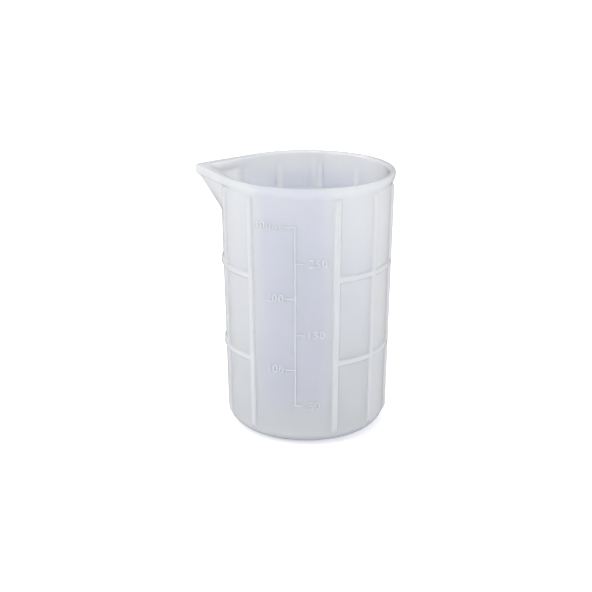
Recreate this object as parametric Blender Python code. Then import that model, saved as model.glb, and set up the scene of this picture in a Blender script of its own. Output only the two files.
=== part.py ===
"""Silicone measuring cup for casting resin, about 300 ml, with a pour spout.

The cup stands on Z = 0 with its axis on Z. The graduation scale faces -Y and the
spout points to -X. The real cup is one moulding. Here each named feature of it is
a closed solid of its own, FIT_GAP away from its neighbours.

Angles round the cup are measured from -Y towards +X, so the scale is at 0 degrees,
the spout at -90 degrees and the back of the cup at 180 degrees. Lengths are in
millimetres and become metres when a mesh is made.
"""

from math import acos, atan2, cos, degrees, hypot, pi, radians, sin, sqrt

import bmesh
import bpy

MM = 0.001
FIT_GAP = 0.3

# Body of the cup
HEIGHT = 108.0
BODY_R_BOTTOM = 33.2
BODY_R_TOP = 35.0
WALL = 1.5
FLOOR = 1.6
CORNER_R = 6.5
DISH_HEIGHT = 8.0
ROUND_SEGMENTS = 120

# Lip round the mouth
LIP_HEIGHT = 4.2
LIP_R_OUT = 36.1
LIP_R_IN = 33.45
LIP_EDGE = 0.7
LIP_SWELL = 0.6
LIP_SWELL_HEIGHT = 1.8

# Pour spout
SPOUT_ANGLE = -90.0
SPOUT_TIP_R = 46.3
SPOUT_TIP_ROUND = 3.2
SPOUT_MOUTH_R = 40.0
SPOUT_MOUTH_ROUND = 0.6
SPOUT_ROOT_ANGLE = 27.0
SPOUT_DROP = 16.0
KEEL_R = 44.8
CHANNEL_ROOT_ANGLE = 24.0
CHANNEL_DROP = 14.0

# Ribs and hoops
RIB_PITCH = 30.0
RIB_WIDTH = 2.6
RIB_BOTTOM = 5.5
RELIEF_TOP = 0.8
RELIEF_CHAMFER = 0.25
HOOP_HEIGHTS = {"lower": 35.5, "upper": 70.6}
HOOP_BAND = 2.4
RIB_NUMBERS = (1, 2, 3, 4, 5, 6, 7, 8, 10, 11)

# Graduations: every second one points left, the others right
SCALE_ANGLE = 2.2
SCALE_STEP_ML = 50
SCALE_STEPS = 6
SCALE_LINE = 0.7
SCALE_TICK = 0.75
LEFT_TICK = 3.85
RIGHT_TICK = 3.1
SCALE_TOP = 0.6

# Material: translucent white silicone
SILICONE = {
    "base": (0.80, 0.83, 0.88),
    "roughness": 0.38,
}

SHELL_TOP = HEIGHT - LIP_HEIGHT - FIT_GAP


def clear_scene():
    """Remove every object that is already in the file."""
    for obj in list(bpy.data.objects):
        bpy.data.objects.remove(obj, do_unlink=True)


def silicone(name, shade=1.0):
    """Make one Principled material in the silicone's colour."""
    mat = bpy.data.materials.new(name)
    mat.use_nodes = True
    shader = mat.node_tree.nodes["Principled BSDF"]
    colour = [min(1.0, c * shade) for c in SILICONE["base"]]
    shader.inputs["Base Color"].default_value = (*colour, 1.0)
    shader.inputs["Roughness"].default_value = SILICONE["roughness"]
    shader.inputs["Metallic"].default_value = 0.0
    mat.diffuse_color = (*colour, 1.0)
    return mat


def body_r(z):
    """Outer radius of the tapered wall at height z."""
    return BODY_R_BOTTOM + (BODY_R_TOP - BODY_R_BOTTOM) * z / HEIGHT


def on_cup(radius, angle, z):
    """Point at a radius and an angle (degrees from -Y towards +X)."""
    turn = radians(angle)
    return (radius * sin(turn) * MM, -radius * cos(turn) * MM, z * MM)


def make_object(name, verts, faces, smooth, shade=1.0):
    """Turn vertices (metres) and faces into a named object with outward normals."""
    mesh = bpy.data.meshes.new(name)
    mesh.from_pydata(verts, [], faces)
    cleaned = bmesh.new()
    cleaned.from_mesh(mesh)
    bmesh.ops.recalc_face_normals(cleaned, faces=cleaned.faces)
    cleaned.to_mesh(mesh)
    cleaned.free()
    obj = bpy.data.objects.new(name, mesh)
    bpy.context.scene.collection.objects.link(obj)
    mesh.materials.append(silicone(name + "_silicone", shade))
    if smooth:
        mesh.shade_smooth()
        mesh.set_sharp_from_angle(angle=radians(35))
    return obj


def loft(loops, cap_ends=True, closed=False):
    """Join loops of equal length with quads, and close the two ends or the ring."""
    count = len(loops[0])
    verts = [point for loop in loops for point in loop]
    faces = []
    spans = len(loops) if closed else len(loops) - 1
    for i in range(spans):
        low = i * count
        high = ((i + 1) % len(loops)) * count
        for j in range(count):
            k = (j + 1) % count
            faces.append((low + j, low + k, high + k, high + j))
    if cap_ends and not closed:
        faces.append(tuple(reversed(range(count))))
        faces.append(tuple(range((len(loops) - 1) * count, len(loops) * count)))
    return verts, faces


def ring_loops(section, segments=ROUND_SEGMENTS):
    """Revolve a closed section of (radius, z) points once round the axis."""
    step = 360.0 / segments
    return [[on_cup(r, i * step, z) for r, z in section] for i in range(segments)]


def arc_points(centre_r, centre_z, radius, start, end, steps):
    """Points of an arc in the (radius, z) plane, angles in degrees."""
    turns = [radians(start + (end - start) * i / steps) for i in range(steps + 1)]
    return [(centre_r + radius * cos(t), centre_z + radius * sin(t)) for t in turns]


def make_base_dish():
    """Floor of the cup with its rounded outer and inner corner."""
    corner_r = body_r(CORNER_R) - CORNER_R
    outer = arc_points(corner_r, CORNER_R, CORNER_R, -90, 0, 10)
    outer.append((body_r(DISH_HEIGHT), DISH_HEIGHT))
    inner_corner = CORNER_R - WALL
    inner = [(body_r(DISH_HEIGHT) - WALL, DISH_HEIGHT)]
    inner += arc_points(corner_r, FLOOR + inner_corner, inner_corner, 0, -90, 8)
    rows = outer + inner
    verts = []
    for r, z in rows:
        verts += [on_cup(r, i * 360.0 / ROUND_SEGMENTS, z) for i in range(ROUND_SEGMENTS)]
    faces = []
    for row in range(len(rows) - 1):
        for i in range(ROUND_SEGMENTS):
            k = (i + 1) % ROUND_SEGMENTS
            low = row * ROUND_SEGMENTS
            high = low + ROUND_SEGMENTS
            faces.append((low + i, low + k, high + k, high + i))
    underside = range(ROUND_SEGMENTS)
    top = range((len(rows) - 1) * ROUND_SEGMENTS, len(rows) * ROUND_SEGMENTS)
    faces.append(tuple(underside))
    faces.append(tuple(top))
    return make_object("base_dish", verts, faces, smooth=True, shade=0.94)


def spout_point(along, across, z):
    """Point in the spout's own axes: along its direction, across it, and up."""
    turn = radians(SPOUT_ANGLE)
    x = along * sin(turn) - across * cos(turn)
    y = -along * cos(turn) - across * sin(turn)
    return (x * MM, y * MM, z * MM)


def wedge_loop(root_r, root_angle, apex_r, apex_round, z, steps=8):
    """Section of a wedge: a rounded apex, straight sides, and a closed back inside."""
    root_x = root_r * cos(radians(root_angle))
    root_y = root_r * sin(radians(root_angle))
    centre = apex_r - apex_round
    reach = hypot(centre - root_x, root_y)
    side = atan2(root_y, centre - root_x)
    normal = pi / 2 - side - acos(min(1.0, apex_round / reach)) + pi / 2
    half = min(max(normal, radians(20)), radians(80))
    loop = []
    for i in range(steps + 1):
        t = -half + 2 * half * i / steps
        loop.append(spout_point(centre + apex_round * cos(t), apex_round * sin(t), z))
    loop.append(spout_point(root_x, root_y, z))
    loop.append(spout_point(root_x - 9.0, root_y, z))
    loop.append(spout_point(root_x - 9.0, -root_y, z))
    loop.append(spout_point(root_x, -root_y, z))
    return loop


def wedge(name, low, high):
    """Solid wedge between two sections (root_r, root_angle, apex_r, apex_round, z)."""
    verts, faces = loft([wedge_loop(*low), wedge_loop(*high)])
    return make_object(name, verts, faces, smooth=False)


def wall_plug(name, clearance, low, high):
    """Solid of the cup's outer shape, grown by a clearance."""
    rings = []
    for z in (low, high):
        radius = body_r(z) + clearance
        rings.append([on_cup(radius, i * 360.0 / ROUND_SEGMENTS, z) for i in range(ROUND_SEGMENTS)])
    verts, faces = loft(rings)
    return make_object(name, verts, faces, smooth=False)


def cut(target, cutters):
    """Subtract cutters from a target with exact Booleans, then remove the cutters."""
    for cutter in cutters:
        modifier = target.modifiers.new("cut_" + cutter.name, "BOOLEAN")
        modifier.operation = "DIFFERENCE"
        modifier.solver = "EXACT"
        modifier.object = cutter
    bpy.context.view_layer.update()
    graph = bpy.context.evaluated_depsgraph_get()
    result = bpy.data.meshes.new_from_object(target.evaluated_get(graph))
    target.modifiers.clear()
    target.data = result
    for cutter in cutters:
        bpy.data.objects.remove(cutter, do_unlink=True)


def channel_cutter(name, clearance=0.0):
    """Hollow of the spout, from the inside of the wall up past the lip."""
    bottom = HEIGHT - LIP_HEIGHT - CHANNEL_DROP
    top = HEIGHT + 1.0
    start_r = body_r(bottom) - WALL
    slope = (SPOUT_MOUTH_R - start_r) / (HEIGHT - LIP_HEIGHT - bottom)
    root_r = body_r(bottom) - WALL
    low = (root_r, CHANNEL_ROOT_ANGLE, start_r - clearance, SPOUT_MOUTH_ROUND, bottom)
    high = (root_r, CHANNEL_ROOT_ANGLE, start_r + slope * (top - bottom), SPOUT_MOUTH_ROUND, top)
    return wedge(name, low, high)


def make_side_wall():
    """Tapered wall, open at the top where the spout's channel leaves it."""
    low = DISH_HEIGHT + FIT_GAP
    section = [
        (body_r(low) - WALL, low),
        (body_r(low), low),
        (body_r(SHELL_TOP), SHELL_TOP),
        (body_r(SHELL_TOP) - WALL, SHELL_TOP),
    ]
    verts, faces = loft(ring_loops(section), closed=True)
    wall = make_object("side_wall", verts, faces, smooth=True, shade=0.97)
    cut(wall, [channel_cutter("wall_notch")])
    return wall


def make_pour_spout():
    """V-shaped trough that runs from the wall out and up to the lip."""
    bottom = HEIGHT - LIP_HEIGHT - SPOUT_DROP
    low = (body_r(bottom), SPOUT_ROOT_ANGLE, body_r(bottom), 1.6, bottom)
    high = (body_r(SHELL_TOP), SPOUT_ROOT_ANGLE, KEEL_R, 1.6, SHELL_TOP)
    spout = wedge("pour_spout", low, high)
    plug = wall_plug("spout_wall_side", FIT_GAP, bottom - 5.0, HEIGHT + 5.0)
    cut(spout, [plug, channel_cutter("spout_channel")])
    spout.data.shade_smooth()
    spout.data.set_sharp_from_angle(angle=radians(30))
    return spout


def lip_outline(circle_r, tip_r, tip_round, z, circle_steps=96, tip_steps=10):
    """Outline of the mouth: a circle drawn out by straight sides to a round tip."""
    centre = tip_r - tip_round
    tangent = degrees(acos((circle_r - tip_round) / centre))
    loop = []
    for i in range(circle_steps + 1):
        turn = radians(tangent + (360.0 - 2 * tangent) * i / circle_steps)
        loop.append(spout_point(circle_r * cos(turn), circle_r * sin(turn), z))
    for i in range(tip_steps + 1):
        turn = radians(-tangent + 2 * tangent * i / tip_steps)
        loop.append(spout_point(centre + tip_round * cos(turn), tip_round * sin(turn), z))
    return loop


def make_rim_lip():
    """Thicker lip round the mouth, swelling out of the wall, carried round the spout's tip."""
    low = HEIGHT - LIP_HEIGHT
    soft = LIP_EDGE
    swell = LIP_SWELL
    inner_round = SPOUT_MOUTH_ROUND
    rows = [
        (LIP_R_OUT - swell, SPOUT_TIP_R - swell, SPOUT_TIP_ROUND, low),
        (LIP_R_OUT - 0.25 * swell, SPOUT_TIP_R - 0.25 * swell, SPOUT_TIP_ROUND, low + 0.5 * LIP_SWELL_HEIGHT),
        (LIP_R_OUT, SPOUT_TIP_R, SPOUT_TIP_ROUND, low + LIP_SWELL_HEIGHT),
        (LIP_R_OUT, SPOUT_TIP_R, SPOUT_TIP_ROUND, HEIGHT - soft),
        (LIP_R_OUT - 0.3 * soft, SPOUT_TIP_R - 0.3 * soft, SPOUT_TIP_ROUND, HEIGHT - 0.3 * soft),
        (LIP_R_OUT - soft, SPOUT_TIP_R - soft, SPOUT_TIP_ROUND, HEIGHT),
        (LIP_R_IN + soft, SPOUT_MOUTH_R + soft, inner_round, HEIGHT),
        (LIP_R_IN + 0.3 * soft, SPOUT_MOUTH_R + 0.3 * soft, inner_round, HEIGHT - 0.3 * soft),
        (LIP_R_IN, SPOUT_MOUTH_R, inner_round, HEIGHT - soft),
        (LIP_R_IN, SPOUT_MOUTH_R, inner_round, low),
    ]
    verts, faces = loft([lip_outline(*row) for row in rows], closed=True)
    return make_object("rim_lip", verts, faces, smooth=True, shade=1.05)


def make_rib(name, angle):
    """Upright rib on the outside of the wall, with chamfered outer edges."""
    half = RIB_WIDTH / 2
    c = RELIEF_CHAMFER
    section = [
        (-half, FIT_GAP),
        (half, FIT_GAP),
        (half, RELIEF_TOP - c),
        (half - c, RELIEF_TOP),
        (c - half, RELIEF_TOP),
        (-half, RELIEF_TOP - c),
    ]
    turn = radians(angle)
    loops = []
    for z in (RIB_BOTTOM, SHELL_TOP):
        loop = []
        for side, rise in section:
            r = body_r(z) + rise
            x = r * sin(turn) + side * cos(turn)
            y = -r * cos(turn) + side * sin(turn)
            loop.append((x * MM, y * MM, z * MM))
        loops.append(loop)
    verts, faces = loft(loops)
    return make_object(name, verts, faces, smooth=False, shade=1.1)


def make_hoop(name, middle_z, start, end):
    """Length of horizontal hoop between two angles, clear of the ribs at its ends."""
    half = HOOP_BAND / 2
    c = RELIEF_CHAMFER
    section = [
        (FIT_GAP, -half),
        (RELIEF_TOP - c, -half),
        (RELIEF_TOP, c - half),
        (RELIEF_TOP, half - c),
        (RELIEF_TOP - c, half),
        (FIT_GAP, half),
    ]
    clear = degrees((RIB_WIDTH / 2 + FIT_GAP) / body_r(middle_z))
    first = start + clear
    span = end - start - 2 * clear
    steps = max(8, round(span / 3))
    loops = []
    for i in range(steps + 1):
        angle = first + span * i / steps
        loops.append([on_cup(body_r(middle_z + dz) + rise, angle, middle_z + dz) for rise, dz in section])
    verts, faces = loft(loops)
    return make_object(name, verts, faces, smooth=True, shade=1.08)


def fill_height(volume_ml):
    """Height of the liquid's surface for a volume, by adding thin layers."""
    layer = 0.05
    z = FLOOR
    left = volume_ml * 1000.0
    corner = CORNER_R - WALL
    while left > 0:
        r = body_r(z) - WALL
        depth = z - FLOOR
        if depth < corner:
            r -= corner - sqrt(max(0.0, corner ** 2 - (corner - depth) ** 2))
        left -= pi * r * r * layer
        z += layer
    return z


def make_scale_ladder():
    """Graduation line with six ticks, as one raised strip on the wall."""
    marks = [fill_height(SCALE_STEP_ML * (i + 1)) for i in range(SCALE_STEPS)]
    half_line = SCALE_LINE / 2
    half_tick = SCALE_TICK / 2
    columns = [-half_line - LEFT_TICK, -half_line, half_line, half_line + RIGHT_TICK]
    rows = []
    for z in marks:
        rows += [z - half_tick, z + half_tick]
    filled = set()
    for row in range(len(rows) - 1):
        filled.add((1, row))
        if row % 2 == 0:
            points_left = (row // 2) % 2 == 1
            filled.add((0 if points_left else 2, row))
    points = {}
    verts = []
    faces = []

    def corner(column, row, level):
        key = (column, row, level)
        if key not in points:
            rise = SCALE_TOP if level else FIT_GAP
            z = rows[row]
            angle = SCALE_ANGLE + degrees(columns[column] / body_r(z))
            points[key] = len(verts)
            verts.append(on_cup(body_r(z) + rise, angle, z))
        return points[key]

    sides = (((0, 0), (1, 0), (0, -1)), ((1, 0), (1, 1), (1, 0)),
             ((1, 1), (0, 1), (0, 1)), ((0, 1), (0, 0), (-1, 0)))
    for column, row in sorted(filled):
        ring = [(column, row), (column + 1, row), (column + 1, row + 1), (column, row + 1)]
        faces.append(tuple(corner(c, r, 1) for c, r in ring))
        faces.append(tuple(corner(c, r, 0) for c, r in reversed(ring)))
        for start, end, step in sides:
            if (column + step[0], row + step[1]) in filled:
                continue
            a = (column + start[0], row + start[1])
            b = (column + end[0], row + end[1])
            faces.append((corner(*a, 0), corner(*b, 0), corner(*b, 1), corner(*a, 1)))
    return make_object("scale_ladder", verts, faces, smooth=False, shade=1.15)


def build():
    """Make every feature of the cup."""
    clear_scene()
    make_base_dish()
    make_side_wall()
    make_rim_lip()
    make_pour_spout()
    make_scale_ladder()
    for index, number in enumerate(RIB_NUMBERS):
        make_rib(f"rib_{index + 1:02d}", number * RIB_PITCH)
    ends = list(zip(RIB_NUMBERS[:-1], RIB_NUMBERS[1:]))
    for level, middle_z in HOOP_HEIGHTS.items():
        for index, (start, end) in enumerate(ends):
            make_hoop(f"{level}_hoop_{index + 1}", middle_z, start * RIB_PITCH, end * RIB_PITCH)


build()
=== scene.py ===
"""Translucent silicone measuring cup on a pale floor, seen as one continuous moulding.

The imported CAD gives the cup's sizes. The visible skin is one closed surface on a polar
grid: columns go round the cup, and rows go up the outside, over the lip and down the
inside. Angles are in degrees from -Y, where the scale is, towards +X. Lengths are in
millimetres and become metres when a mesh is made.
"""

from math import acos, asin, atan2, cos, degrees, hypot, pi, radians, sin, sqrt

import bmesh
import bpy
from mathutils import Euler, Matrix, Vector


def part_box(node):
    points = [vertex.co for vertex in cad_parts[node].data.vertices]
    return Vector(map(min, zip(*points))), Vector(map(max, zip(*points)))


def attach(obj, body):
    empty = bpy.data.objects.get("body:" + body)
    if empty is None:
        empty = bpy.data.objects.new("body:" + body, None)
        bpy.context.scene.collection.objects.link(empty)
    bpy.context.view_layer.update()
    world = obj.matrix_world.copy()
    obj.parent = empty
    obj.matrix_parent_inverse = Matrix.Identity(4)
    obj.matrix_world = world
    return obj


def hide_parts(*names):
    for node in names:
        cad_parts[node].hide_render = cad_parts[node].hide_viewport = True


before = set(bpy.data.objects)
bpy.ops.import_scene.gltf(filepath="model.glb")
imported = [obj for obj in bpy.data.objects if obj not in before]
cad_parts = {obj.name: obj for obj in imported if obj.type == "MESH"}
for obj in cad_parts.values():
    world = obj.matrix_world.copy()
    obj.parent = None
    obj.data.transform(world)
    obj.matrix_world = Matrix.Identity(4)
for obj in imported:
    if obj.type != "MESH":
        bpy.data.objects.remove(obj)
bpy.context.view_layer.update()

MM = 0.001


# ---- sizes read from the frame ----


def node_box(name):
    """Lowest and highest corner of a CAD node, in millimetres."""
    low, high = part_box(name)
    return low / MM, high / MM


DISH_HIGH = node_box("base_dish")[1]
WALL_HIGH = node_box("side_wall")[1]
LIP_LOW, LIP_HIGH = node_box("rim_lip")
SPOUT_LOW = node_box("pour_spout")[0]
HOOP_BOXES = [node_box("lower_hoop_1"), node_box("upper_hoop_1")]

HEIGHT = LIP_HIGH.z
LIP_R = LIP_HIGH.x
LIP_Z = LIP_LOW.z
LIP_HEIGHT = HEIGHT - LIP_Z
TIP_R = -LIP_LOW.x
WALL_TOP_R = WALL_HIGH.y
KEEL_R = -SPOUT_LOW.x
KEEL_FOOT_Z = SPOUT_LOW.z
HOOP_Z = [(low.z + high.z) / 2 for low, high in HOOP_BOXES]

# straight taper through the dish's widest ring and the wall's top ring
TAPER = (WALL_TOP_R - DISH_HIGH.x) / (WALL_HIGH.z - DISH_HIGH.z)
BASE_R = DISH_HIGH.x - TAPER * DISH_HIGH.z


# ---- sizes that no node's box gives ----

# wall and floor
WALL = 1.5
FLOOR = 1.6
CORNER = 6.5
INNER_CORNER = CORNER - WALL

# lip round the mouth, with its outer and inner top edges rounded
LIP_INNER_R = 33.45
LIP_EDGE = 0.7
MOUTH_EDGE = 1.1
WALL_END_Z = LIP_Z - 0.35
SWELL_FOOT_Z = LIP_Z - 0.25
SWELL_RISE = LIP_HEIGHT - 1.0
SWELL_BLEND = 0.2
SPOUT_SWELL = 1.5
SPOUT_SWELL_FADE = (25, 45)
THROAT = 3.0

# pour spout outside, and its channel inside
SPOUT_ANGLE = -90.0
ROOT_ANGLE = 27.0
TIP_ROUND = 3.2
KEEL_ROUND = 1.6
CHANNEL_ANGLE = 26.0
CHANNEL_DROP = 14.0
CHANNEL_FOOT_Z = LIP_Z - CHANNEL_DROP
MOUTH_R = 40.0
MOUTH_ROUND = 0.6
SPOUT_EASE = 0.4

# ribs and hoops
RIB_ANGLES = [30 * n for n in (1, 2, 3, 4, 5, 6, 7, 8, 10, 11)]
RELIEF = 0.8
RIB_HALF = 1.3
HOOP_HALF = 1.2
FILLET = 0.45
RIB_FOOT = (4.0, 6.8)
RIB_HEAD = (LIP_Z - 1.6, LIP_Z - 0.4)
HOOPLESS_HALF = 30.0

# graduation scale
SCALE_ANGLE = 2.2
SCALE_STEP_ML = 50
SCALE_STEPS = 6
MARK_RISE = 0.14
MARK_SINK = 0.04
MARK_EDGE = 0.16
MARK_EDGE_RISE = 0.35
LINE_HALF = 0.33
TICK_HALF = 0.36
TICK_OVERLAP = 0.2
STROKE_PITCH_X = 0.8
STROKE_PITCH_Y = 2.0
LEFT_TICK = 4.2
RIGHT_TICK = 3.45
NUMERAL_SIZE = 4.75
NUMERAL_SPACING = 1.1
NUMERAL_THINNING = -0.035
NUMERAL_BEVEL = 0.05
LEFT_GAP = 0.45
RIGHT_GAP = 1.9


# ---- the cup's shape as formulas ----


def smooth(value, low, high):
    """Smooth step from 0 below low to 1 above high."""
    t = min(1.0, max(0.0, (value - low) / (high - low)))
    return t * t * (3 - 2 * t)


def soft_max(a, b, blend):
    """Larger of two values, rounded where they meet."""
    h = max(0.0, min(1.0, 0.5 + 0.5 * (a - b) / blend))
    return b + (a - b) * h + blend * h * (1 - h)


def body_r(z):
    """Outer radius of the plain tapered wall."""
    return BASE_R + TAPER * z


def turn_between(angle, other):
    """Angle from another angle, from -180 to 180 degrees."""
    return (angle - other + 180.0) % 360.0 - 180.0


def turn_from_spout(angle):
    """Angle from the spout's middle."""
    return turn_between(angle, SPOUT_ANGLE)


def hull_r(off, circle_r, tip_r, tip_round):
    """Radius of a circle drawn out to a rounded tip by two tangent sides."""
    off = abs(off)
    centre = tip_r - tip_round
    tangent = degrees(acos((circle_r - tip_round) / centre))
    if off >= tangent:
        return circle_r
    side = circle_r / cos(radians(tangent - off))
    across = centre * sin(radians(off))
    if across >= tip_round:
        return side
    tip = centre * cos(radians(off)) + sqrt(tip_round ** 2 - across ** 2)
    touch_x = centre + tip_round * cos(radians(tangent))
    touch_y = tip_round * sin(radians(tangent))
    return tip if off < degrees(atan2(touch_y, touch_x)) else side


def wedge_r(off, root_r, root_angle, apex_r, apex_round):
    """Radius of the spout's V section: two straight sides and a rounded keel."""
    turn = radians(abs(off))
    root_x = root_r * cos(radians(root_angle))
    root_y = root_r * sin(radians(root_angle))
    centre = apex_r - apex_round
    reach = hypot(centre - root_x, root_y)
    lean = atan2(root_y, centre - root_x) - asin(min(1.0, apex_round / reach))
    # the straight side's normal, measured from the spout's direction
    normal = pi / 2 - lean
    side = (centre * cos(normal) + apex_round) / cos(turn - normal)
    across = centre * sin(turn)
    touch = atan2(apex_round * sin(normal), centre + apex_round * cos(normal))
    if turn < touch and across < apex_round:
        return centre * cos(turn) + sqrt(apex_round ** 2 - across ** 2)
    return side


def keel_r(z):
    """Reach of the spout's outer keel at a height below the lip."""
    share = (z - KEEL_FOOT_Z) / (LIP_Z - KEEL_FOOT_Z)
    return body_r(KEEL_FOOT_Z) + (KEEL_R - body_r(KEEL_FOOT_Z)) * share


def channel_r(z):
    """Reach of the spout's inner channel at a height."""
    start = body_r(CHANNEL_FOOT_Z) - WALL
    return start + (MOUTH_R - start) * (z - CHANNEL_FOOT_Z) / CHANNEL_DROP


def with_spout(plain, off, root_angle, apex_r, apex_round):
    """Plain wall's radius with the spout's V section eased out of it."""
    if abs(off) >= root_angle:
        return plain
    out = wedge_r(off, plain, root_angle, apex_r + SPOUT_EASE, apex_round) - plain
    if out <= 0:
        return plain
    return plain + out * out / (out + SPOUT_EASE)


def outer_r(angle, z):
    """Outside of the cup below the lip, with the spout."""
    plain = body_r(z)
    if z < KEEL_FOOT_Z:
        return plain
    return with_spout(plain, turn_from_spout(angle), ROOT_ANGLE, keel_r(z), KEEL_ROUND)


def inner_r(angle, z):
    """Inside of the cup below the lip, with the spout's channel."""
    plain = body_r(z) - WALL
    if z < CHANNEL_FOOT_Z:
        return plain
    return with_spout(plain, turn_from_spout(angle), CHANNEL_ANGLE, channel_r(z), MOUTH_ROUND)


def lip_r(angle, inset):
    """Outside of the lip, moved inwards by an inset."""
    return hull_r(turn_from_spout(angle), LIP_R - inset, TIP_R - inset, TIP_ROUND)


def mouth_r(angle, offset):
    """Inside of the lip, moved outwards by an offset."""
    return hull_r(turn_from_spout(angle), LIP_INNER_R + offset, MOUTH_R + offset, MOUTH_ROUND)


def band_share(distance, half):
    """How far a rib or hoop stands out at a distance from its middle, from 0 to 1."""
    return 1 - smooth(distance, half - FILLET, half + FILLET)


def rib_share(angle, z):
    """How far a rib stands out here, from 0 to 1."""
    nearest = min(abs(turn_between(angle, rib)) for rib in RIB_ANGLES)
    height_share = smooth(z, *RIB_FOOT) * (1 - smooth(z, *RIB_HEAD))
    return band_share(radians(nearest) * body_r(z), RIB_HALF) * height_share


def hoop_share(angle, z):
    """How far a hoop stands out here; the hoops stop at the ribs beside the scale."""
    if abs(turn_between(angle, 0.0)) < HOOPLESS_HALF:
        return 0.0
    return max(band_share(abs(z - middle), HOOP_HALF) for middle in HOOP_Z)


# ---- the skin's columns and rows ----


def thinned(values, gap):
    """Sorted values without those that come closer than a gap to the one before."""
    ordered = sorted(values)
    kept = ordered[:1]
    for value in ordered[1:]:
        if value - kept[-1] > gap:
            kept.append(value)
    return kept


def column_angles():
    """Angles of the columns: close together at the ribs and the spout's tip."""
    angles = {round(-180.0 + 3.0 * n, 4) for n in range(120)}
    across_rib = (0.0, 0.6, 0.85, 1.0, 1.12, 1.24, 1.36, 1.48, 1.6, 1.75, 2.0)
    around_spout = [0.3 * n for n in range(20)] + [6.0 + 1.2 * n for n in range(21)]
    places = [(rib, degrees(d / body_r(HEIGHT / 2))) for rib in RIB_ANGLES for d in across_rib]
    places += [(SPOUT_ANGLE, off) for off in around_spout]
    for middle, off in places:
        for side in (-1, 1):
            angles.add(round(turn_between(middle + side * off, 0.0), 4))
    return thinned(angles, 0.12)


def wall_heights(low, high):
    """Heights of the rows on the outer wall: close together at the hoops and the spout."""
    heights = {low, high}
    z = low
    while z < high:
        heights.add(z)
        z += 3.0
    for middle in HOOP_Z:
        for d in (0.0, 0.5, 0.75, 0.9, 1.02, 1.14, 1.26, 1.38, 1.5, 1.65, 2.2):
            heights.update((middle - d, middle + d))
    z = KEEL_FOOT_Z - 1.0
    while z < high:
        heights.add(z)
        z += 0.8
    return thinned([h for h in heights if low <= h <= high], 0.08)


FLAT_SHARES = (0.12, 0.3, 0.5, 0.7, 0.88)
CORNER_CENTRE_R = body_r(CORNER) - CORNER


def outside_rows():
    """Rows of the underside, the rounded corner and the outer wall."""
    for share in (*FLAT_SHARES, 1.0):
        yield lambda a, s=share: (CORNER_CENTRE_R * s, 0.0)
    for step in range(1, 15):
        turn = radians(-90 + 90 * step / 15)

        def corner(a, turn=turn):
            z = CORNER + CORNER * sin(turn)
            lift = RELIEF * rib_share(a, z)
            return CORNER_CENTRE_R + (CORNER + lift) * cos(turn), z + lift * sin(turn)

        yield corner
    for height in wall_heights(CORNER, WALL_END_Z):
        def wall(a, z=height):
            return outer_r(a, z) + RELIEF * max(rib_share(a, z), hoop_share(a, z)), z

        yield wall


def swell_rate(angle):
    """How quickly the lip swells out: slowly round the cup, quickly at the spout."""
    return 1.0 + SPOUT_SWELL * (1 - smooth(abs(turn_from_spout(angle)), *SPOUT_SWELL_FADE))


def lip_rows():
    """Rows of the lip: out of the wall, over the top and round into the mouth."""
    for step in range(0, 9):
        def swell(a, share=step / 8):
            z = SWELL_FOOT_Z + SWELL_RISE * share
            wall_r = outer_r(a, min(z, LIP_Z))
            grown = sin(radians(90 * min(1.0, share * swell_rate(a))))
            bead = wall_r + (lip_r(a, 0.0) - wall_r) * grown
            return soft_max(bead, wall_r + RELIEF * rib_share(a, z), SWELL_BLEND), z

        yield swell
    turns = [radians(90 * step / 6) for step in range(0, 7)]
    for turn in turns:
        yield lambda a, t=turn: (
            lip_r(a, LIP_EDGE * (1 - cos(t))), HEIGHT - LIP_EDGE + LIP_EDGE * sin(t))
    for share in (0.33, 0.67):
        def top(a, share=share):
            start = lip_r(a, LIP_EDGE)
            return start + (mouth_r(a, MOUTH_EDGE) - start) * share, HEIGHT

        yield top
    for turn in turns:
        yield lambda a, t=turn: (
            mouth_r(a, MOUTH_EDGE * (1 - sin(t))), HEIGHT - MOUTH_EDGE + MOUTH_EDGE * cos(t))


def inside_rows():
    """Rows of the throat below the lip, the inner wall, its corner and the floor."""
    for step in range(1, 12):
        def throat(a, share=step / 12):
            z = HEIGHT - MOUTH_EDGE - (THROAT + LIP_HEIGHT - MOUTH_EDGE) * share
            start = mouth_r(a, 0.0)
            return start + (inner_r(a, z) - start) * smooth(share, 0.0, 1.0), z

        yield throat
    z = LIP_Z - THROAT
    while z > CORNER + 1.0:
        yield lambda a, z=z: (inner_r(a, z), z)
        z -= 0.8 if z > CHANNEL_FOOT_Z - 1.0 else 4.0
    for step in range(0, 11):
        turn = radians(-90 * step / 10)
        yield lambda a, t=turn: (
            CORNER_CENTRE_R + INNER_CORNER * cos(t), FLOOR + INNER_CORNER * (1 + sin(t)))
    for share in reversed(FLAT_SHARES):
        yield lambda a, s=share: (CORNER_CENTRE_R * s, FLOOR)


# ---- the pieces ----


def cup_point(radius, angle, z):
    """Point at a radius, an angle and a height, in metres."""
    turn = radians(angle)
    return (radius * sin(turn) * MM, -radius * cos(turn) * MM, z * MM)


def link(name, data):
    """New object with a name and data, in the scene."""
    obj = bpy.data.objects.new(name, data)
    bpy.context.scene.collection.objects.link(obj)
    return obj


def shaded_object(name, mesh, sharp_angle):
    """Object of a smooth mesh that keeps its edges sharper than an angle."""
    mesh.shade_smooth()
    mesh.set_sharp_from_angle(angle=radians(sharp_angle))
    return link(name, mesh)


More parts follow.
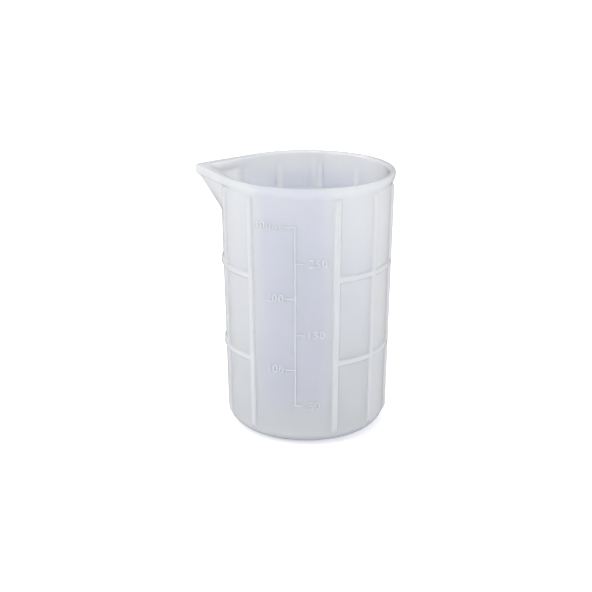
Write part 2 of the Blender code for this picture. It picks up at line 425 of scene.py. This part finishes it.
def build_skin():
    """The whole moulding as one closed mesh."""
    angles = column_angles()
    rows = [*outside_rows(), *lip_rows(), *inside_rows()]
    verts = []
    for row in rows:
        for angle in angles:
            radius, z = row(angle)
            verts.append(cup_point(radius, angle, z))
    count = len(angles)
    faces = []
    for low in range(0, (len(rows) - 1) * count, count):
        for j in range(count):
            k = (j + 1) % count
            faces.append((low + j, low + k, low + count + k, low + count + j))
    # middle points that close the underside and the floor
    last = len(verts) - count
    under = len(verts)
    floor = under + 1
    verts += [(0.0, 0.0, 0.0), (0.0, 0.0, FLOOR * MM)]
    for j in range(count):
        k = (j + 1) % count
        faces.append((under, k, j))
        faces.append((floor, last + j, last + k))
    mesh = bpy.data.meshes.new("cup_moulding")
    mesh.from_pydata(verts, [], faces)
    return shaded_object("cup_moulding", mesh, 50)


def fill_height(volume_ml):
    """Height of the liquid's surface for a volume, by adding thin layers."""
    layer = 0.05
    z = FLOOR
    left = volume_ml * 1000.0
    while left > 0:
        r = body_r(z) - WALL
        depth = z - FLOOR
        if depth < INNER_CORNER:
            r -= INNER_CORNER - sqrt(max(0.0, INNER_CORNER ** 2 - (INNER_CORNER - depth) ** 2))
        left -= pi * r * r * layer
        z += layer
    return z


MARKS = [fill_height(SCALE_STEP_ML * (n + 1)) for n in range(SCALE_STEPS)]


def wrap(x, y, rise):
    """Point on the wall: x mm to the right of the scale line, y mm up, rise mm out."""
    r = body_r(y)
    return cup_point(r + rise, SCALE_ANGLE + degrees(x / r), y)


def stroke_steps(low, high, pitch):
    """Grid places along one side of a stroke, with a narrow soft edge at both ends."""
    count = max(2, int((high - low) / pitch) + 1)
    flat = high - low - 2 * MARK_EDGE
    inner = [low + MARK_EDGE + flat * i / count for i in range(count)]
    return [low, *inner, high - MARK_EDGE, high]


def add_stroke(work, x0, x1, y0, y1):
    """Closed strip with a soft-edged top, wrapped on the wall."""
    xs = stroke_steps(x0, x1, STROKE_PITCH_X)
    ys = stroke_steps(y0, y1, STROKE_PITCH_Y)
    top = []
    for j, y in enumerate(ys):
        line = []
        for i, x in enumerate(xs):
            at_edge = i in (0, len(xs) - 1) or j in (0, len(ys) - 1)
            rise = MARK_RISE * MARK_EDGE_RISE if at_edge else MARK_RISE
            line.append(work.verts.new(wrap(x, y, rise)))
        top.append(line)
    back = [[work.verts.new(wrap(x, y, -MARK_SINK)) for x in xs] for y in ys]
    for j in range(len(ys) - 1):
        for i in range(len(xs) - 1):
            for grid in (top, back):
                work.faces.new((grid[j][i], grid[j][i + 1], grid[j + 1][i + 1], grid[j + 1][i]))
    for j in range(len(ys) - 1):
        for i in (0, -1):
            work.faces.new((top[j][i], top[j + 1][i], back[j + 1][i], back[j][i]))
    for i in range(len(xs) - 1):
        for j in (0, -1):
            work.faces.new((top[j][i], back[j][i], back[j][i + 1], top[j][i + 1]))


def marks_object(name, work, sharp_angle):
    """Object made from a bmesh of raised marks, with its faces turned outwards."""
    bmesh.ops.recalc_face_normals(work, faces=work.faces)
    mesh = bpy.data.meshes.new(name)
    work.to_mesh(mesh)
    work.free()
    return shaded_object(name, mesh, sharp_angle)


def build_ladder():
    """Graduation line with its ticks, every second one pointing left."""
    work = bmesh.new()
    add_stroke(work, -LINE_HALF, LINE_HALF, MARKS[0] - TICK_HALF, MARKS[-1] + TICK_HALF)
    start = LINE_HALF * TICK_OVERLAP
    for n, z in enumerate(MARKS):
        ends = (-LEFT_TICK, -start) if n % 2 else (start, RIGHT_TICK)
        add_stroke(work, *ends, z - TICK_HALF, z + TICK_HALF)
    return marks_object("scale_ladder_relief", work, 60)


def numeral_mesh(text):
    """Extruded numerals as a mesh, in millimetres."""
    curve = bpy.data.curves.new("numeral", "FONT")
    curve.body = text
    curve.size = NUMERAL_SIZE
    curve.extrude = (MARK_RISE + MARK_SINK) / 2
    curve.bevel_depth = NUMERAL_BEVEL
    curve.bevel_resolution = 1
    curve.space_character = NUMERAL_SPACING
    curve.offset = NUMERAL_THINNING
    curve.resolution_u = 6
    holder = link("numeral", curve)
    bpy.context.view_layer.update()
    graph = bpy.context.evaluated_depsgraph_get()
    mesh = bpy.data.meshes.new_from_object(holder.evaluated_get(graph))
    bpy.data.objects.remove(holder, do_unlink=True)
    bpy.data.curves.remove(curve)
    return mesh


def build_numerals():
    """Raised numerals beside the ticks, wrapped on the wall."""
    work = bmesh.new()
    middle = 0.5 * (MARK_RISE - MARK_SINK)
    for n, z in enumerate(MARKS):
        unit = "ml" if n == SCALE_STEPS - 1 else ""
        glyphs = numeral_mesh(f"{SCALE_STEP_ML * (n + 1)}{unit}")
        low = min(v.co.x for v in glyphs.vertices)
        high = max(v.co.x for v in glyphs.vertices)
        tall = max(v.co.y for v in glyphs.vertices)
        shift = -LEFT_TICK - LEFT_GAP - high if n % 2 else RIGHT_TICK + RIGHT_GAP - low
        for vertex in glyphs.vertices:
            x, y, depth = vertex.co
            vertex.co = wrap(x + shift, z + y - tall / 2, depth + middle)
        work.from_mesh(glyphs)
        bpy.data.meshes.remove(glyphs)
    bmesh.ops.remove_doubles(work, verts=work.verts, dist=0.004 * MM)
    return marks_object("scale_numerals", work, 40)


# ---- the silicone ----

# base colours: wall near the base and near the lip, darker low as painted shade and lighter high as
# painted light;
# wall at the scale, darker and bluish as painted shade; thick places, whiter, partly for the thicker
# silicone and partly as painted light; and the same for the inside, where the lining is darker and
# bluer as painted shade; then the raised marks
PLAIN_LOW = (0.825, 0.84, 0.84)
PLAIN_HIGH = (0.875, 0.89, 0.925)
PANEL_PAINTED_SHADE = (0.78, 0.79, 0.862)
THICK_AND_PAINTED_LIGHT = (0.93, 0.945, 0.985)
INSIDE_PAINTED_SHADE = (0.825, 0.84, 0.93)
INSIDE_THICK_AND_PAINTED_LIGHT = (0.95, 0.963, 1.0)
LADDER = (0.60, 0.62, 0.667)
NUMERAL = (0.71, 0.73, 0.77)

# how much each region is whitened, and where each one fades in: by height, by how
# far round to the side it is, or by the angle from the spout. The lip and the foot are whiter partly
# for thick silicone and partly as painted light, the foot's lifting the shade where the cup meets
# the floor; the sides, the inside near the lip, the inner sides and the spout's channel are whiter
# as painted light
LIP_SHARE = 0.1
LIP_FADE = (LIP_Z - 2.5, HEIGHT - 0.5)
SIDE_SHARE = 1.0
SIDE_FADE = (0.82, 0.93)
SIDE_FOOT_FADE = (0.5, CORNER)
FOOT_SHARE = 0.8
FOOT_FADE = (0.0, CORNER + 1.5)
INSIDE_LIP_SHARE = 0.9
INSIDE_LIP_FADE = (LIP_Z - 9, HEIGHT - 1.5)
INSIDE_SIDE_SHARE = 0.5
INSIDE_SIDE_FADE = (0.45, 0.85)
INSIDE_FOOT_FADE = (5, 20)
SPOUT_SHARE = 0.6
SPOUT_FADE = (24, 34)
CHANNEL_FADE = (CHANNEL_FOOT_Z, CHANNEL_FOOT_Z + 5)

# where the painted shade at the scale, darker and bluish, fades out beside the scale, below it and,
# in part, above it
PANEL_FADE = (15, 30)
PANEL_FOOT_FADE = (8, 26)
PANEL_HEAD_FADE = (85, 104)
PANEL_HEAD_LOSS = 0.25

# clouding of the milky material, and its brightness at the base and the lip: painted shade near the
# base and painted light near the lip
CLOUD_SCALE = 38.0
CLOUD_RANGE = (0.975, 1.025)
HEIGHT_PAINTED_LIGHT_RANGE = (0.955, 1.02)

# fine grain left by the mould
GRAIN_SCALE = 900.0
ROUGHNESS_RANGE = (0.34, 0.46)
GRAIN_STRENGTH = 0.12
GRAIN_DEPTH = 0.2 * MM

# clarity of the cup's skin, and a thin coat whose grey tint paints shade on edges seen at a glancing
# angle
IOR = 1.41
CLARITY = 0.45
SCATTER_SCALE = 1.8 * MM
SCATTER_RADIUS = (1.0, 1.0, 1.1)
COAT_IOR = 1.003
COAT_ROUGHNESS = 0.3
COAT_EDGE_SHADE = (0.93, 0.93, 0.93)


class Nodes:
    """Small helper that adds and joins a material's shader nodes."""

    def __init__(self, material):
        material.use_nodes = True
        self.tree = material.node_tree
        self.shader = self.tree.nodes["Principled BSDF"]
        self.place = self.add("ShaderNodeTexCoord").outputs["Object"]

    def add(self, kind, **values):
        """Add a node, set its properties, and return it."""
        node = self.tree.nodes.new(kind)
        for key, value in values.items():
            setattr(node, key, value)
        return node

    def join(self, source, target):
        """Link an output socket to an input socket."""
        self.tree.links.new(source, target)

    def noise(self, scale, detail):
        """Noise on the object's own coordinates."""
        node = self.add("ShaderNodeTexNoise")
        node.inputs["Scale"].default_value = scale
        node.inputs["Detail"].default_value = detail
        self.join(self.place, node.inputs["Vector"])
        return node.outputs["Fac"]

    def remap(self, source, low, high, top=1.0, kind="LINEAR"):
        """Map a value from 0..top to low..high."""
        node = self.add("ShaderNodeMapRange", interpolation_type=kind)
        node.inputs["From Max"].default_value = top
        node.inputs["To Min"].default_value = low
        node.inputs["To Max"].default_value = high
        self.join(source, node.inputs["Value"])
        return node.outputs["Result"]

    def stored(self, name):
        """Number stored at the mesh's vertices."""
        return self.add("ShaderNodeAttribute", attribute_name=name).outputs["Fac"]

    def between(self, factor, first, second):
        """Mix two colours or colour sockets by a factor."""
        mix = self.add("ShaderNodeMix", data_type="RGBA")
        for key, value in (("A", first), ("B", second)):
            if isinstance(value, tuple):
                mix.inputs[key].default_value = (*value, 1)
            else:
                self.join(value, mix.inputs[key])
        self.join(factor, mix.inputs["Factor"])
        return mix.outputs["Result"]


def cup_colour(n, height):
    """Greyish where thin, whiter at thick and painted lit places, painted shade low and light high,
    darker bluish painted shade at the scale, a darker bluer painted-shade lining.
    """
    plain = n.between(height, PLAIN_LOW, PLAIN_HIGH)
    # painted shade at the scale: darker and bluish
    wall = n.between(n.stored("panel_painted_shade"), plain, PANEL_PAINTED_SHADE)
    thick_and_lit = n.stored("thickness_and_painted_light")
    outside = n.between(thick_and_lit, wall, THICK_AND_PAINTED_LIGHT)
    # the lining is darker and bluer as painted shade, and whiter where it takes painted light
    lining = n.between(thick_and_lit, INSIDE_PAINTED_SHADE, INSIDE_THICK_AND_PAINTED_LIGHT)
    return n.between(n.stored("inside"), outside, lining)


def flat_colour(n, colour):
    """One colour as a socket."""
    node = n.add("ShaderNodeRGB")
    node.outputs[0].default_value = (*colour, 1)
    return node.outputs[0]


def silicone(name, mark_colour=None):
    """Translucent milky silicone, or with a mark's colour, the denser look of a raised mark."""
    mat = bpy.data.materials.new(name)
    n = Nodes(mat)
    split = n.add("ShaderNodeSeparateXYZ")
    n.join(n.place, split.inputs["Vector"])
    level = n.add("ShaderNodeMath", operation="MULTIPLY")
    n.join(n.remap(n.noise(CLOUD_SCALE, 3.0), *CLOUD_RANGE), level.inputs[0])
    # painted shade near the base and painted light near the lip
    height_painted_light = n.remap(split.outputs["Z"], *HEIGHT_PAINTED_LIGHT_RANGE, top=HEIGHT * MM, kind="SMOOTHSTEP")
    n.join(height_painted_light, level.inputs[1])
    if mark_colour:
        body = flat_colour(n, mark_colour)
    else:
        height = n.remap(split.outputs["Z"], 0.0, 1.0, top=HEIGHT * MM, kind="SMOOTHSTEP")
        body = cup_colour(n, height)
    shaded = n.add("ShaderNodeVectorMath", operation="SCALE")
    n.join(body, shaded.inputs["Vector"])
    n.join(level.outputs["Value"], shaded.inputs["Scale"])
    n.join(shaded.outputs["Vector"], n.shader.inputs["Base Color"])
    grain = n.noise(GRAIN_SCALE, 4.0)
    n.join(n.remap(grain, *ROUGHNESS_RANGE), n.shader.inputs["Roughness"])
    bump = n.add("ShaderNodeBump")
    bump.inputs["Strength"].default_value = GRAIN_STRENGTH
    bump.inputs["Distance"].default_value = GRAIN_DEPTH
    n.join(grain, bump.inputs["Height"])
    n.join(bump.outputs["Normal"], n.shader.inputs["Normal"])
    settings = {
        "IOR": IOR,
        "Subsurface Weight": 0.0 if mark_colour else 1.0,
        "Subsurface Radius": SCATTER_RADIUS,
        "Subsurface Scale": SCATTER_SCALE,
        "Transmission Weight": 0.0 if mark_colour else CLARITY,
        "Coat Weight": 1.0,
        "Coat IOR": COAT_IOR,
        "Coat Roughness": COAT_ROUGHNESS,
        # the coat's grey tint paints shade on edges seen at a glancing angle
        "Coat Tint": (*COAT_EDGE_SHADE, 1),
    }
    for key, value in settings.items():
        n.shader.inputs[key].default_value = value
    return mat


def sideways(angle):
    """How far round to the cup's left or right an angle is, from 0 to 1."""
    return abs(sin(radians(angle)))


def outside_thickness_and_painted_light(angle, z):
    """How much whiter the outside is, apart from ribs and hoops, from 0 to 1: partly thick silicone
    at the lip and the foot, and painted light there and at the sides.
    """
    lip = LIP_SHARE * smooth(z, *LIP_FADE)
    side = SIDE_SHARE * smooth(sideways(angle), *SIDE_FADE) * smooth(z, *SIDE_FOOT_FADE)
    foot = FOOT_SHARE * (1 - smooth(z, *FOOT_FADE))
    return max(lip, side, foot)


def inside_thickness_and_painted_light(angle, z):
    """How much whiter the inside is, apart from ribs and hoops, from 0 to 1: painted light near the
    lip, on the inner sides and in the spout's channel.
    """
    lip = INSIDE_LIP_SHARE * smooth(z, *INSIDE_LIP_FADE)
    side = smooth(sideways(angle), *INSIDE_SIDE_FADE) * smooth(z, *INSIDE_FOOT_FADE)
    near_spout = 1 - smooth(abs(turn_from_spout(angle)), *SPOUT_FADE)
    spout = SPOUT_SHARE * near_spout * smooth(z, *CHANNEL_FADE)
    return max(lip, INSIDE_SIDE_SHARE * side, spout)


def panel_painted_shade_share(angle, z):
    """How much of the scale panel's painted shade, darker and bluish, the wall has, from 0 to 1."""
    across = 1 - smooth(abs(angle), *PANEL_FADE)
    return across * smooth(z, *PANEL_FOOT_FADE) * (1 - PANEL_HEAD_LOSS * smooth(z, *PANEL_HEAD_FADE))


def add_looks(obj):
    """Store what the material needs at each vertex of the skin, each from 0 to 1."""
    looks = {"thickness_and_painted_light": [], "inside": [], "panel_painted_shade": []}
    for vertex in obj.data.vertices:
        x, y, z = vertex.co / MM
        angle = degrees(atan2(x, -y))
        within = hypot(x, y) < body_r(z) - 0.5 * WALL and z > 0.5 * FLOOR
        plain = inside_thickness_and_painted_light(angle, z) if within else outside_thickness_and_painted_light(angle, z)
        # ribs and hoops are whiter where thick as painted light, on the inner face too as painted
        # light of the ribs seen through the wall
        looks["thickness_and_painted_light"].append(max(plain, rib_share(angle, z), hoop_share(angle, z)))
        looks["inside"].append(1.0 if within else 0.0)
        looks["panel_painted_shade"].append(panel_painted_shade_share(angle, z))
    for name, values in looks.items():
        layer = obj.data.attributes.new(name, "FLOAT", "POINT")
        layer.data.foreach_set("value", values)


def finish_piece(obj, nodes, material):
    """Give a piece its material and tie it to the frame."""
    obj.data.materials.clear()
    obj.data.materials.append(material)
    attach(obj, "root")
    if nodes:
        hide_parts(*nodes)


skin = build_skin()
add_looks(skin)
moulded = [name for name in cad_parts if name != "scale_ladder"]
finish_piece(skin, moulded, silicone("cup_silicone"))
finish_piece(build_ladder(), ["scale_ladder"], silicone("scale_silicone", LADDER))
finish_piece(build_numerals(), [], silicone("numeral_silicone", NUMERAL))


# ---- floor, lights and camera, in metres ----

FLOOR_Z = -0.0001
FLOOR_GLOW = 0.27
SWEEP_R = 1.6
SWEEP_ROUND = 1.2
SWEEP_TOP = 2.4
COOL = (0.965, 0.98, 1.0)
MIDDLE = (0.0, 0.0, 0.055)
MOUTH_SIDE = (0.025, 0.0, 0.095)

# name, place, point it faces, size and power of each softbox
SOFTBOXES = (
    ("left_softbox", (-0.5, -0.2, 0.45), MIDDLE, 0.45, 1.4),
    ("right_softbox", (0.6, -0.1, 0.3), MIDDLE, 0.5, 0.8),
    ("top_softbox", (0.0, 0.1, 0.9), MIDDLE, 0.7, 0.4),
    ("rear_softbox", (-0.4, 0.15, 0.5), MOUTH_SIDE, 0.25, 0.5),
)
SUN_POWER = 0.52
SUN_SPREAD = radians(50)
WORLD_STRENGTH = 0.525

VIEW_TURN = radians(9.6)
VIEW_DISTANCE = 0.4783
VIEW_HEIGHT = 0.2163
VIEW_PITCH = radians(18.83)
VIEW_PAN = radians(0.52)
LENS = 73.1


def build_floor():
    """Wide pale floor just under the cup, curving up into a plain backdrop all round."""
    profile = [(0.6, 0.0), (SWEEP_R, 0.0)]
    for step in range(1, 13):
        turn = radians(90 * step / 12)
        profile.append((SWEEP_R + SWEEP_ROUND * sin(turn), SWEEP_ROUND * (1 - cos(turn))))
    profile.append((SWEEP_R + SWEEP_ROUND, SWEEP_TOP))
    sides = 72
    verts = [(0.0, 0.0, FLOOR_Z)]
    for reach, rise in profile:
        for i in range(sides):
            turn = radians(360 * i / sides)
            verts.append((reach * cos(turn), reach * sin(turn), FLOOR_Z + rise))
    faces = [(0, 1 + i, 1 + (i + 1) % sides) for i in range(sides)]
    for row in range(len(profile) - 1):
        low = 1 + row * sides
        for i in range(sides):
            k = (i + 1) % sides
            faces.append((low + i, low + sides + i, low + sides + k, low + k))
    mesh = bpy.data.meshes.new("floor")
    mesh.from_pydata(verts, [], faces)
    mesh.shade_smooth()
    mat = bpy.data.materials.new("pale_floor")
    mat.use_nodes = True
    shader = mat.node_tree.nodes["Principled BSDF"]
    shader.inputs["Base Color"].default_value = (0.93, 0.93, 0.94, 1)
    shader.inputs["Roughness"].default_value = 0.9
    shader.inputs["Specular IOR Level"].default_value = 0.1
    shader.inputs["Emission Color"].default_value = (1, 1, 1, 1)
    shader.inputs["Emission Strength"].default_value = FLOOR_GLOW
    mesh.materials.append(mat)
    link("floor", mesh)


def add_softbox(name, place, aim, size, power):
    """Soft square light at a place, facing a point, in metres and watts."""
    data = bpy.data.lights.new(name, "AREA")
    data.shape = "SQUARE"
    data.size = size
    data.energy = power
    lamp = link(name, data)
    lamp.location = place
    lamp.rotation_euler = (Vector(aim) - Vector(place)).to_track_quat("-Z", "Y").to_euler()


def add_surroundings():
    """Weak sun from straight above and a pale world, both slightly cool."""
    sun = bpy.data.lights.new("overhead_sun", "SUN")
    sun.energy = SUN_POWER
    sun.color = COOL
    sun.angle = SUN_SPREAD
    link("overhead_sun", sun)
    world = bpy.data.worlds.new("studio")
    world.use_nodes = True
    background = world.node_tree.nodes["Background"]
    background.inputs["Color"].default_value = (*COOL, 1)
    background.inputs["Strength"].default_value = WORLD_STRENGTH
    bpy.context.scene.world = world


def add_camera():
    """Camera in front of the cup, turned a little to its right and looking down."""
    data = bpy.data.cameras.new("camera")
    data.sensor_width = 36.0
    data.lens = LENS
    camera = link("camera", data)
    reach = VIEW_DISTANCE
    camera.location = (reach * sin(VIEW_TURN), -reach * cos(VIEW_TURN), VIEW_HEIGHT)
    camera.rotation_euler = Euler((radians(90) - VIEW_PITCH, 0, VIEW_TURN + VIEW_PAN), "XYZ")
    bpy.context.scene.camera = camera


build_floor()
for softbox in SOFTBOXES:
    add_softbox(*softbox)
add_surroundings()
add_camera()
bpy.context.scene.view_settings.view_transform = "Standard"
